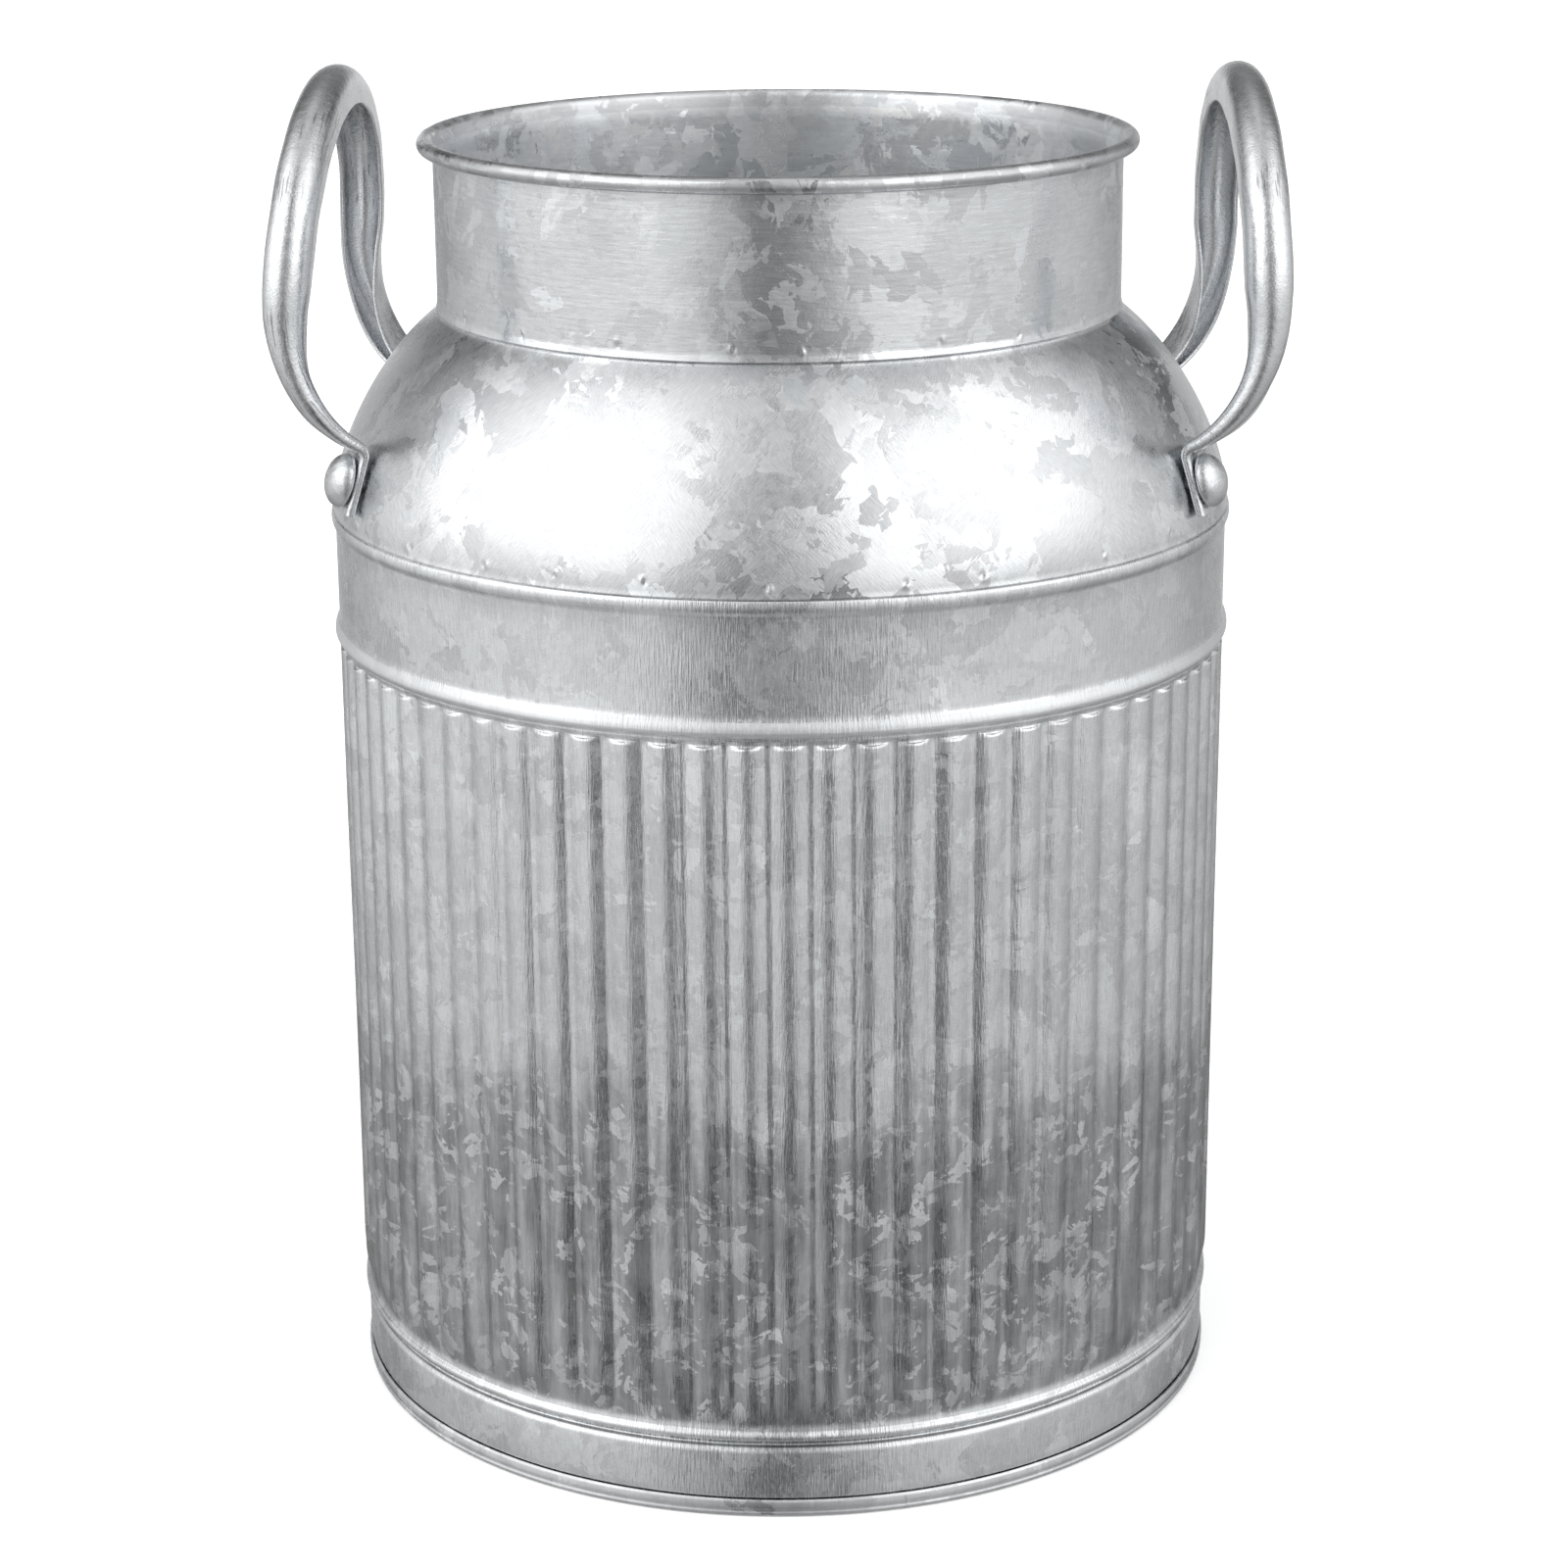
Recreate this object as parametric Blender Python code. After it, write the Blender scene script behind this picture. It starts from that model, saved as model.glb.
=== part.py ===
"""Galvanised sheet-steel milk can: ribbed body, domed shoulder, collar with a wired rim, seamed
base and two riveted channel handles. Metres, +Z up, origin on the floor at the can's axis."""

import math

import bmesh
import bpy
from mathutils import Matrix, Vector

# ---- driving dimensions (metres) ----
SHEET = 0.0005                # sheet of body, shoulder, collar and base
GAP = 0.0003                  # clearance between pieces that touch
SEGMENTS = 72                 # sides of the body and the base
UPPER_SEGMENTS = 60           # sides of the shoulder, the collar and its wire
SMALL_SEGMENTS = 12           # sides of rivets, washers and their holes
CHANNEL_STEPS = 4             # facets of a channel's round back

BODY_RADIUS = 0.0844          # plain band and rib crests
LAND_RADIUS = 0.0835          # narrow lands between the ribs
FOOT_RADIUS = 0.0839          # plain band below the ribs
RIB_COUNT = 72
RIB_LAND_SHARE = 0.17         # part of the pitch that is land
RIB_BOTTOM = 0.0184
RIB_TOP = 0.1470
RIB_RUNOUT = 0.0016           # length of a rib's sloping end

FLOOR_HEIGHT = 0.0040         # underside of the recessed base disc
SEAM_RADIUS = 0.0843          # outside of the seamed lip
SEAM_HEIGHT = 0.0032
SEAM_CLEARANCE = 0.0005       # between the body's edge and the lip's fold

SHOULDER_RADIUS = 0.0846
SHOULDER_BOTTOM = 0.1729
SHOULDER_TOP = 0.2085
LAP_TOP = 0.1764              # top of the body's flange inside the shoulder
CURVE_TOP_PULL = 0.01515      # how far the dome's curve leaves the collar straight
CURVE_BOTTOM_PULL = 0.00904   # how far it leaves the body straight
CURVE_TOP_SLOPE = math.radians(35.6)

COLLAR_RADIUS = 0.0640
COLLAR_BOTTOM = 0.2095
COLLAR_LAP = 0.0050           # the shoulder's flange inside the collar
ROLL_RADIUS = 0.0015
ROLL_CENTRE = (0.0654, 0.23985)
ROLL_END = math.radians(-115)
WIRE_RADIUS = ROLL_RADIUS - SHEET + 0.00005 - GAP

HANDLE_SHEET = 0.0008
HANDLE_STRIP = 0.0174         # width of the strip before it is bent into a channel
CHANNEL_RADIUS = 0.0038       # middle of the sheet in the channel's round back
PINCHED_RADIUS = 0.00046      # the same where the channel is pressed into a tab
PINCH_RATE = 0.09             # how fast the channel closes towards the tab
HANDLE_SET_BACK = math.radians(2.1)
ARCH_TOP = 0.2530             # the channel's back at the top of the loop
ARCH_TOP_REACH = {"left": 0.0829, "right": 0.0857}   # its distance from the can's axis
ARCH_STEPS = 9
LEG_BEND_RADIUS = 0.0291
LEG_SWEEP = {"left": math.radians(61), "right": math.radians(63)}   # lean of a leg at its foot
LEG_STRAIGHT_SHARE = 0.15     # part of the leg that stays square to the tab
LEG_STEPS = 9
TAB_BEND_RADIUS = 0.0020
BEND_STEPS = 4
TAB_RISE = 0.0064             # from the rivet's axis up to the bend
TAB_DROP = 0.0057             # and down to the tab's end

RIVET_HALF_ANGLE = math.radians(26.0)
RIVET_HEIGHT = 0.1817         # where a rivet's axis meets its tab
RIVET_TILT = math.radians(17.0)
RIVET_HEAD_RADIUS = 0.0050
RIVET_HEAD_HEIGHT = 0.0038
SHANK_RADIUS = 0.0020
TAIL_RADIUS = 0.0031
TAIL_HEIGHT = 0.0012
WASHER_RADIUS = 0.0036
WASHER_THICKNESS = 0.0008
WASHER_GAP = 0.0006           # the shoulder is hollow there, and the washer is flat


# ---- helpers ----
def clear_scene():
    for obj in list(bpy.context.scene.objects):
        bpy.data.objects.remove(obj, do_unlink=True)


def metal(name, colour, roughness):
    material = bpy.data.materials.new(name)
    material.use_nodes = True
    shader = material.node_tree.nodes["Principled BSDF"]
    shader.inputs["Base Color"].default_value = (*colour, 1.0)
    shader.inputs["Metallic"].default_value = 0.95
    shader.inputs["Roughness"].default_value = roughness
    return material


def new_object(name, mesh, material):
    obj = bpy.data.objects.new(name, mesh)
    bpy.context.scene.collection.objects.link(obj)
    mesh.materials.append(material)
    mesh.shade_smooth()
    mesh.set_sharp_from_angle(angle=math.radians(30))
    return obj


def mesh_from(bm, name):
    bmesh.ops.recalc_face_normals(bm, faces=bm.faces)
    mesh = bpy.data.meshes.new(name)
    bm.to_mesh(mesh)
    bm.free()
    return mesh


def turned(name, profile, material, steps):
    """A (radius, height) outline, outer side running down, turned about Z.

    It closes on itself, or ends on the axis."""
    mesh = bpy.data.meshes.new(name)
    edges = [(i, i + 1) for i in range(len(profile) - 1)]
    if profile[0][0] > 0:
        edges.append((len(profile) - 1, 0))
    mesh.from_pydata([(r, 0.0, z) for r, z in profile], edges, [])
    obj = new_object(name, mesh, material)
    turn = obj.modifiers.new("Turn", "SCREW")
    turn.angle = math.tau
    turn.steps = steps
    turn.render_steps = steps
    turn.use_merge_vertices = True
    turn.merge_threshold = 0.00001
    return obj


def arc(centre, radius, start, end, count):
    """Points on an arc in the profile's plane, both ends included."""
    points = []
    for i in range(count):
        angle = start + (end - start) * i / (count - 1)
        points.append((centre[0] + radius * math.cos(angle), centre[1] + radius * math.sin(angle)))
    return points


def dome_curve(offset, count):
    """The shoulder's outline from collar to body, moved inwards by offset."""
    start = Vector((COLLAR_RADIUS + 0.0002, SHOULDER_TOP))
    end = Vector((SHOULDER_RADIUS, SHOULDER_BOTTOM))
    leave = Vector((math.cos(CURVE_TOP_SLOPE), -math.sin(CURVE_TOP_SLOPE))) * CURVE_TOP_PULL
    arrive = Vector((0.0, 1.0)) * CURVE_BOTTOM_PULL
    handles = (start, start + leave, end + arrive, end)
    points = []
    for i in range(count):
        t = i / (count - 1)
        s = 1.0 - t
        weights = (s * s * s, 3 * s * s * t, 3 * s * t * t, t * t * t)
        slopes = (-s * s, s * s - 2 * s * t, 2 * s * t - t * t, t * t)
        point = sum((h * w for h, w in zip(handles, weights)), Vector((0.0, 0.0)))
        along = sum((h * w for h, w in zip(handles, slopes)), Vector((0.0, 0.0))).normalized()
        inward = Vector((along.y, -along.x))
        points.append(tuple(point + inward * offset))
    return points


def dome_radius(height):
    """The shoulder's outer radius at a height."""
    points = dome_curve(0.0, 200)
    for above, below in zip(points, points[1:]):
        if above[1] >= height >= below[1]:
            share = (above[1] - height) / (above[1] - below[1])
            return above[0] + (below[0] - above[0]) * share
    return SHOULDER_RADIUS


# ---- body ----
def plain_ring(bm, radius, height):
    ring = []
    for i in range(SEGMENTS):
        angle = math.tau * i / SEGMENTS
        ring.append(bm.verts.new((radius * math.cos(angle), radius * math.sin(angle), height)))
    return ring


def ribbed_ring(bm, crest, land, height):
    """Three points a rib: the middle of the land, then the two edges of the crest."""
    pitch = math.tau / RIB_COUNT
    ring = []
    for i in range(RIB_COUNT):
        for share, radius in ((0.0, land), (RIB_LAND_SHARE, crest), (1 - RIB_LAND_SHARE, crest)):
            angle = pitch * (i + share)
            ring.append(bm.verts.new((radius * math.cos(angle), radius * math.sin(angle), height)))
    return ring


def bridge(bm, first, second):
    """Skin two rings; one may have a whole number of times as many points as the other."""
    coarse, fine = (first, second) if len(first) <= len(second) else (second, first)
    ratio = len(fine) // len(coarse)
    for i, corner in enumerate(coarse):
        after = coarse[(i + 1) % len(coarse)]
        part = [fine[(i * ratio + k) % len(fine)] for k in range(ratio + 1)]
        middle = (ratio + 1) // 2
        for k in range(ratio):
            if ratio == 1:
                bm.faces.new((corner, after, part[1], part[0]))
            else:
                bm.faces.new((corner if k < middle else after, part[k + 1], part[k]))
        if ratio > 1:
            bm.faces.new((corner, after, part[middle]))


def make_body(material):
    rib_low = RIB_BOTTOM + RIB_RUNOUT
    rib_high = RIB_TOP - RIB_RUNOUT
    lap_outer = SHOULDER_RADIUS - SHEET - GAP
    lap_top_outer = dome_radius(LAP_TOP) - SHEET - GAP - 0.0001
    outside = [
        (LAND_RADIUS, 0.0010),
        (LAND_RADIUS, 0.0035),
        (FOOT_RADIUS, 0.0039),
        (FOOT_RADIUS, 0.0128),
        (0.0832, 0.0145),
        (0.0845, 0.0156),
        (0.0845, 0.0170),
        (LAND_RADIUS, RIB_BOTTOM),
        ("ribs", rib_low),
        ("ribs", rib_high),
        (LAND_RADIUS, RIB_TOP),
        (0.0848, 0.1484),
        (0.0851, 0.1497),
        (BODY_RADIUS, 0.1511),
        (BODY_RADIUS, 0.1708),
        (0.0852, 0.1713),
        (0.0852, 0.1721),
        (lap_outer, 0.1726),
        (lap_top_outer, LAP_TOP),
    ]
    inside = [
        (lap_top_outer - SHEET, LAP_TOP),
        (lap_outer - SHEET, 0.1724),
        (BODY_RADIUS - SHEET, 0.1709),
        (BODY_RADIUS - SHEET, 0.1510),
        (0.0845, 0.1497),
        (LAND_RADIUS - SHEET, RIB_TOP),
        ("ribs", rib_high),
        ("ribs", rib_low),
        (LAND_RADIUS - SHEET, RIB_BOTTOM),
        (0.0840, 0.0163),
        (0.0827, 0.0145),
        (FOOT_RADIUS - SHEET, 0.0128),
        (FOOT_RADIUS - SHEET, 0.0037),
        (LAND_RADIUS - SHEET, 0.0033),
        (LAND_RADIUS - SHEET, 0.0010),
    ]
    bm = bmesh.new()
    rings = []
    for side, depth in ((outside, 0.0), (inside, SHEET)):
        for radius, height in side:
            if radius == "ribs":
                rings.append(ribbed_ring(bm, BODY_RADIUS - depth, LAND_RADIUS - depth, height))
            else:
                rings.append(plain_ring(bm, radius, height))
    for i, ring in enumerate(rings):
        bridge(bm, ring, rings[(i + 1) % len(rings)])
    return new_object("body", mesh_from(bm, "body"), material)


# ---- other shells ----
def make_base(material):
    """A recessed disc whose edge folds down, out and up round the body's lower edge."""
    skirt = LAND_RADIUS - SHEET - GAP
    hook = LAND_RADIUS + GAP
    profile = [
        (0.0, FLOOR_HEIGHT + SHEET),
        (skirt, FLOOR_HEIGHT + SHEET),
        (skirt, SEAM_CLEARANCE),
        (hook, SEAM_CLEARANCE),
        (hook, SEAM_HEIGHT),
        (SEAM_RADIUS, SEAM_HEIGHT - 0.0002),
        (SEAM_RADIUS, 0.0003),
        (SEAM_RADIUS - 0.0003, 0.0),
        (skirt - SHEET + 0.0003, 0.0),
        (skirt - SHEET, 0.0003),
        (skirt - SHEET, FLOOR_HEIGHT),
        (0.0, FLOOR_HEIGHT),
    ]
    return turned("base", profile, material, SEGMENTS)


def make_shoulder(material):
    lap_outer = COLLAR_RADIUS - SHEET - GAP
    lap_top = COLLAR_BOTTOM + COLLAR_LAP
    outer = [(lap_outer, lap_top), (lap_outer, COLLAR_BOTTOM - 0.0001)] + dome_curve(0.0, 8)
    inner = dome_curve(SHEET, 7)[::-1]
    inner += [(lap_outer - SHEET, COLLAR_BOTTOM - 0.0005), (lap_outer - SHEET, lap_top)]
    return turned("shoulder", outer + inner, material, UPPER_SEGMENTS)


def make_collar(material):
    inner_radius = COLLAR_RADIUS - SHEET
    over = arc(ROLL_CENTRE, ROLL_RADIUS, math.pi, ROLL_END, 7)
    under = arc(ROLL_CENTRE, ROLL_RADIUS - SHEET + 0.00005, ROLL_END, math.pi, 7)
    profile = [(inner_radius, COLLAR_BOTTOM), (inner_radius, 0.2372)]
    profile += over + under
    profile += [(COLLAR_RADIUS, 0.2372), (COLLAR_RADIUS, COLLAR_BOTTOM)]
    return turned("collar", profile, material, UPPER_SEGMENTS)


def make_rim_wire(material):
    section = arc(ROLL_CENTRE, WIRE_RADIUS, math.pi / 2, -math.pi * 1.5 + math.tau / 6, 6)
    return turned("rim_wire", section, material, UPPER_SEGMENTS)


# ---- handles ----
def side_direction(turn):
    """Level direction along the can's side, towards the middle of the handle."""
    return Vector((math.sin(turn), -math.cos(turn), 0.0))


def out_direction(turn):
    """Level direction away from the can, square to side_direction."""
    return Vector((math.cos(turn), math.sin(turn), 0.0))


def handle_path(sweep, top_reach):
    """Stations from a handle's top to a tab's end, along the channel's back: point and inward side.

    In the handle's own frame: X away from the can's axis, Y along the can's side, Z up."""
    upper, lower = tab_line()
    leg = leg_stations(upper, sweep)
    tab_side = side_direction(RIVET_HALF_ANGLE)
    foot = round_corner(leg[0][0], leg[1][0], upper, lower, tab_side)
    kept = [station for station in leg if station[0].z > foot[0][0].z + 0.0006]
    top = kept[-1][0]
    rise = ARCH_TOP - top.z
    arch = []
    for i in range(1, ARCH_STEPS + 1):
        angle = math.pi / 2 * i / ARCH_STEPS
        reach = top.x + (top_reach - top.x) * math.sin(angle)
        inward = Vector((0.0, -math.cos(angle) / top.y, -math.sin(angle) / rise))
        point = Vector((reach, top.y * math.cos(angle), top.z + rise * math.sin(angle)))
        arch.append((point, inward.normalized()))
    return (kept + arch)[::-1] + foot + [(lower, tab_side)]


def leg_stations(start, sweep):
    """A leg from the tab's bend up to the arch: it leans out, turning upright and square."""
    point = start.copy()
    stations = [(point.copy(), side_direction(RIVET_HALF_ANGLE))]
    step = sweep / LEG_STEPS
    for i in range(LEG_STEPS):
        share = max(0.0, (i + 0.5) / LEG_STEPS - LEG_STRAIGHT_SHARE) / (1 - LEG_STRAIGHT_SHARE)
        turn = RIVET_HALF_ANGLE * (1 - share * share * (3 - 2 * share))
        lean = sweep - step * (i + 0.5)
        heading = out_direction(turn) * math.sin(lean) + Vector((0.0, 0.0, math.cos(lean)))
        point += heading * LEG_BEND_RADIUS * step
        stations.append((point.copy(), side_direction(turn)))
    return stations


def tab_line():
    """The two ends of a tab's back edge, in the middle of its thickness."""
    thickness = PINCHED_RADIUS + HANDLE_SHEET / 2
    out = out_direction(RIVET_HALF_ANGLE)
    normal = out * math.cos(RIVET_TILT) + Vector((0.0, 0.0, math.sin(RIVET_TILT)))
    along = out * math.sin(RIVET_TILT) - Vector((0.0, 0.0, math.cos(RIVET_TILT)))
    on_shoulder = out * dome_radius(RIVET_HEIGHT) + Vector((0.0, 0.0, RIVET_HEIGHT))
    middle = on_shoulder + normal * (thickness + GAP)
    back = middle - side_direction(RIVET_HALF_ANGLE) * section_depth(PINCHED_RADIUS) / 2
    upper = back - along * TAB_RISE
    lower = back + along * TAB_DROP
    return upper, lower


def round_corner(corner, before, after_start, after_end, side):
    """Stations on an arc of the tab's bend radius, from the leg into the tab."""
    into = (before - corner).normalized()
    out_of = (after_end - after_start).normalized()
    half = into.angle(out_of) / 2
    reach = TAB_BEND_RADIUS / math.tan(half)
    centre = corner + (into + out_of).normalized() * (TAB_BEND_RADIUS / math.sin(half))
    start = corner + into * reach - centre
    end = corner + out_of * reach - centre
    stations = []
    for i in range(BEND_STEPS + 1):
        spoke = start.slerp(end, i / BEND_STEPS).normalized() * TAB_BEND_RADIUS
        stations.append((centre + spoke, side))
    return stations


def section_depth(radius):
    """Depth of the channel from its back to its open edge."""
    return radius + HANDLE_SHEET / 2 + (HANDLE_STRIP - math.pi * radius) / 2


def section_points(point, side, normal, radius):
    """The channel's outline at one station: outer points, then inner points, edge to edge."""
    leg = (HANDLE_STRIP - math.pi * radius) / 2
    centre = point + side * (radius + HANDLE_SHEET / 2)
    loops = []
    for skin in (radius + HANDLE_SHEET / 2, radius - HANDLE_SHEET / 2):
        points = [centre + normal * skin + side * leg]
        for i in range(CHANNEL_STEPS + 1):
            angle = math.pi * i / CHANNEL_STEPS
            points.append(centre + normal * skin * math.cos(angle) - side * skin * math.sin(angle))
        points.append(centre - normal * skin + side * leg)
        loops.append(points)
    return loops[0] + loops[1][::-1]


def make_handle(name, azimuth, half, cutters, material):
    bend = half[-2][0]
    mirrored = [(Vector((p.x, -p.y, p.z)), Vector((s.x, -s.y, s.z))) for p, s in half[:0:-1]]
    stations = mirrored + half
    points = [s[0] for s in stations]
    lengths = [0.0]
    for first, second in zip(points, points[1:]):
        lengths.append(lengths[-1] + (second - first).length)
    half_lengths = [abs(length - lengths[-1] / 2) for length in lengths]
    tab_start = lengths[-1] / 2 - (half[-1][0] - bend).length
    bm = bmesh.new()
    rings = []
    for i, (point, side) in enumerate(stations):
        ahead = points[min(i + 1, len(points) - 1)]
        behind = points[max(i - 1, 0)]
        along = (ahead - behind).normalized()
        side = (side - along * side.dot(along)).normalized()
        normal = side.cross(along)
        radius = PINCHED_RADIUS + PINCH_RATE * max(0.0, tab_start - half_lengths[i])
        radius = min(radius, CHANNEL_RADIUS)
        rings.append([bm.verts.new(p) for p in section_points(point, side, normal, radius)])
    size = len(rings[0])
    for ring, following in zip(rings, rings[1:]):
        for i in range(size):
            j = (i + 1) % size
            bm.faces.new((ring[i], ring[j], following[j], following[i]))
    for ring in (rings[0], rings[-1]):
        for i in range(size // 2 - 1):
            bm.faces.new((ring[i], ring[i + 1], ring[size - 2 - i], ring[size - 1 - i]))
    obj = new_object(name, mesh_from(bm, name), material)
    obj.rotation_euler = (0.0, 0.0, azimuth)
    for cutter in cutters:
        drill(obj, cutter)
    return obj


# ---- rivets ----
def rivet_matrix(azimuth):
    """Z along the rivet's axis, pointing out; the origin on the shoulder's outer face."""
    radius = dome_radius(RIVET_HEIGHT)
    place = Vector((radius * math.cos(azimuth), radius * math.sin(azimuth), RIVET_HEIGHT))
    turn = Matrix.Rotation(azimuth, 4, "Z") @ Matrix.Rotation(math.pi / 2 - RIVET_TILT, 4, "Y")
    return Matrix.Translation(place) @ turn


def tab_face():
    return GAP + 2 * PINCHED_RADIUS + HANDLE_SHEET


def make_rivet(name, azimuth, material):
    """A domed head outside the tab, a shank, and a tail peened over the washer."""
    head = tab_face() + GAP
    washer_face = -SHEET - WASHER_GAP - WASHER_THICKNESS
    tail = washer_face - GAP
    profile = [(0.0, head + RIVET_HEAD_HEIGHT)]
    for angle in (65, 42, 20):
        profile.append((
            RIVET_HEAD_RADIUS * math.cos(math.radians(angle)),
            head + RIVET_HEAD_HEIGHT * math.sin(math.radians(angle)),
        ))
    profile += [
        (RIVET_HEAD_RADIUS, head + 0.0004),
        (RIVET_HEAD_RADIUS - 0.0003, head),
        (SHANK_RADIUS, head),
        (SHANK_RADIUS, tail),
        (TAIL_RADIUS, tail),
        (TAIL_RADIUS, tail - TAIL_HEIGHT / 2),
        (TAIL_RADIUS * 0.6, tail - TAIL_HEIGHT),
        (0.0, tail - TAIL_HEIGHT),
    ]
    obj = turned(name, profile, material, SMALL_SEGMENTS)
    obj.matrix_world = rivet_matrix(azimuth)
    return obj


def make_washer(name, azimuth, material):
    top = -SHEET - WASHER_GAP
    bore = SHANK_RADIUS + GAP
    profile = [
        (bore, top),
        (WASHER_RADIUS, top),
        (WASHER_RADIUS, top - WASHER_THICKNESS),
        (bore, top - WASHER_THICKNESS),
    ]
    obj = turned(name, profile, material, SMALL_SEGMENTS)
    obj.matrix_world = rivet_matrix(azimuth)
    return obj


def make_cutter(name, azimuth):
    """A drill for the rivet's hole through the tab and the shoulder."""
    bm = bmesh.new()
    bmesh.ops.create_cone(
        bm, cap_ends=True, segments=SMALL_SEGMENTS, depth=0.008,
        radius1=SHANK_RADIUS + GAP, radius2=SHANK_RADIUS + GAP,
    )
    mesh = bpy.data.meshes.new(name)
    bm.to_mesh(mesh)
    bm.free()
    obj = bpy.data.objects.new(name, mesh)
    bpy.context.scene.collection.objects.link(obj)
    obj.matrix_world = rivet_matrix(azimuth)
    obj.hide_render = True
    obj.display_type = "WIRE"
    return obj


def drill(obj, cutter):
    hole = obj.modifiers.new("Hole " + cutter.name, "BOOLEAN")
    hole.operation = "DIFFERENCE"
    hole.solver = "EXACT"
    hole.object = cutter


# ---- assembly ----
def build():
    clear_scene()
    ribbed = metal("Zinc body", (0.56, 0.57, 0.58), 0.38)
    bright = metal("Zinc shoulder", (0.66, 0.67, 0.68), 0.30)
    neck = metal("Zinc collar", (0.62, 0.63, 0.64), 0.34)
    bottom = metal("Zinc base", (0.50, 0.51, 0.52), 0.45)
    wire = metal("Steel wire", (0.40, 0.40, 0.41), 0.50)
    satin = metal("Zinc handle", (0.58, 0.58, 0.59), 0.42)
    button = metal("Zinc rivet", (0.60, 0.60, 0.61), 0.40)
    plate = metal("Steel washer", (0.45, 0.45, 0.46), 0.50)

    make_base(bottom)
    make_body(ribbed)
    shoulder = make_shoulder(bright)
    make_collar(neck)
    make_rim_wire(wire)
    sides = {"right": HANDLE_SET_BACK, "left": math.pi - HANDLE_SET_BACK}
    for side, azimuth in sides.items():
        front = -RIVET_HALF_ANGLE if side == "right" else RIVET_HALF_ANGLE
        cutters = []
        for place, turn in (("front", front), ("back", -front)):
            cutter = make_cutter(f"drill_{side}_{place}", azimuth + turn)
            drill(shoulder, cutter)
            cutters.append(cutter)
            make_rivet(f"rivet_{side}_{place}", azimuth + turn, button)
            make_washer(f"washer_{side}_{place}", azimuth + turn, plate)
        half = handle_path(LEG_SWEEP[side], ARCH_TOP_REACH[side])
        make_handle(f"handle_{side}", azimuth, half, cutters, satin)


build()
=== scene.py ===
"""Looks of the galvanised milk can: detailed sheets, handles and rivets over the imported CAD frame,
zinc spangle materials, a pale studio and the camera. Metres, +Z up, the can's front towards -Y."""

import math

import bmesh
import bpy
import numpy as np
from mathutils import Matrix, Vector


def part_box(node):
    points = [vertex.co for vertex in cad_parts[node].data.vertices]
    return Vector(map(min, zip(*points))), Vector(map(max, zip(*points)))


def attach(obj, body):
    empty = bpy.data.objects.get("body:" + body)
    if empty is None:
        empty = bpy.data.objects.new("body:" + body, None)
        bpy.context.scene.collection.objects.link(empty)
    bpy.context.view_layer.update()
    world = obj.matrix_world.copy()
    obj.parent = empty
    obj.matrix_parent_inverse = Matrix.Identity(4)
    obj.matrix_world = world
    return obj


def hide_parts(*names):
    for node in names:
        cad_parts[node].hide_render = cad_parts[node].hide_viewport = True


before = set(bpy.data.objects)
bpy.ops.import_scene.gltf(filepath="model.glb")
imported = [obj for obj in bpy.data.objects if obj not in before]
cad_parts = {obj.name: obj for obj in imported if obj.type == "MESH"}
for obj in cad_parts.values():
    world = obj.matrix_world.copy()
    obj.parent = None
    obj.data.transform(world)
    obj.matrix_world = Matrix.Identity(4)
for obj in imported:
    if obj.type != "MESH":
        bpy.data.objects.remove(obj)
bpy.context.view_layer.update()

# ---- sizes (metres), read from the frame where the frame holds them ----
SHEET = 0.0005
BODY_RADIUS = 0.0844                          # plain band
LAND_RADIUS = 0.0835                          # lands between the ribs
FOOT_RADIUS = 0.0839
BEAD_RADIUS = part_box("body")[1].y             # the widest bead
LAP_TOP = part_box("body")[1].z                 # the body's flange inside the shoulder
RIB_COUNT = 72
RIB_HEIGHT = 0.0010
RIB_WIDTH = 0.0062
RIB_LOW = 0.0186
RIB_HIGH = 0.1528                             # they run in under the bead before they end
RIB_END = 0.0060                              # length over which a rib dies away
SEAM_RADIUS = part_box("base")[1].x             # the seamed lip
SEAM_TOP = 0.0034
FLOOR_HEIGHT = 0.0040
SHOULDER_RADIUS = 0.0846
SHOULDER_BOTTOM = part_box("shoulder")[0].z
SHOULDER_TOP = 0.2085
DOME_SLOPE = math.radians(35.6)               # of the shoulder where it meets the collar
DOME_LOW_PULL = 0.00904                       # lengths of the dome curve's two handles
DOME_HIGH_PULL = 0.01515
COLLAR_RADIUS = 0.0640
COLLAR_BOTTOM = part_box("collar")[0].z
RIM_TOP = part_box("collar")[1].z
ROLL_RADIUS = 0.0015
ROLL_CENTRE = (0.0654, RIM_TOP - ROLL_RADIUS)
WIRE_RADIUS = 0.00075
FINE_COLUMNS = 270                            # even columns of shoulder and collar
BACK = math.pi / 2                            # azimuth of the sheets' upright joint
SMALL_FILLET = 0.00045                        # fillets below this get two steps, others three
PLAIN_BAND = (0.152, 0.169)                   # heights of the flat bands, which get even rows
FOOT_BAND = (0.004, 0.0125)
BAND_ROWS = 0.0050                            # how far apart those rows are at most
LAST_RIB_ROW = 0.0008                         # from the last row of the ribs to the bead
CLOSE_ROWS = 0.0050                           # height of the close rows at a row of spot welds
WELD_ROWS = 0.0004                            # how far apart those are at most
WELD_COLUMNS = np.arange(-7, 8) * 0.00022     # extra columns at each weld
LEAST_SHARE = 0.0001                          # of a turn, between two columns
WELD_PIT = 0.00045                            # radius of a spot weld's pit,
WELD_LIP = 0.0006                             # radius of its lip,
WELD_LIP_REACH = 0.0007                       # and how far off centre the lip stands

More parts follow.
